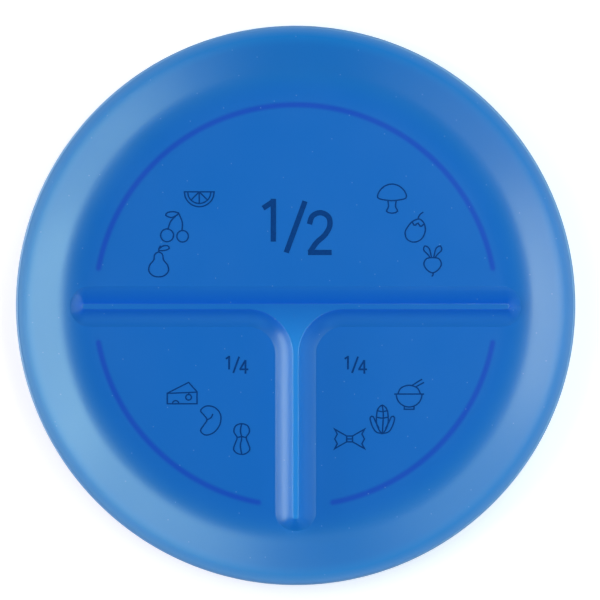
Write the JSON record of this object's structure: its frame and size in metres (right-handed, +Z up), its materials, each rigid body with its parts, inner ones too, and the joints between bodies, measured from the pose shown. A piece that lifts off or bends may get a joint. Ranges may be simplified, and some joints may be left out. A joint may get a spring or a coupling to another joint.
{
  "type": "portion plate",
  "caption": "Round shallow translucent plastic plate with low ridges parting its floor into a half and quarters, foot ribs underneath, printed with food pictograms and portion fractions.",
  "frame": {"origin": "on the table under the plate's centre, in the plane of the foot ribs' lower faces", "axes": "+Z up, +Y from the centre into the half compartment, +X to the right as the print is read"},
  "size_m": [0.254, 0.254, 0.0147],
  "materials": {
    "plate_plastic": "satin, translucent blue",
    "print_ink": "dark blue screen-print ink"
  },
  "bodies": {
    "root": {"plate_body": "plate_plastic", "pear_print": "print_ink", "cherries_print": "print_ink", "citrus_print": "print_ink", "mushroom_print": "print_ink", "aubergine_print": "print_ink", "radish_print": "print_ink", "peanut_print": "print_ink", "bean_print": "print_ink", "cheese_print": "print_ink", "rice_bowl_print": "print_ink", "corn_print": "print_ink", "pasta_print": "print_ink", "half_one": "print_ink", "half_slash": "print_ink", "half_two": "print_ink", "left_quarter_one": "print_ink", "left_quarter_slash": "print_ink", "left_quarter_four": "print_ink", "right_quarter_one": "print_ink", "right_quarter_slash": "print_ink", "right_quarter_four": "print_ink"}
  },
  "joints": []
}
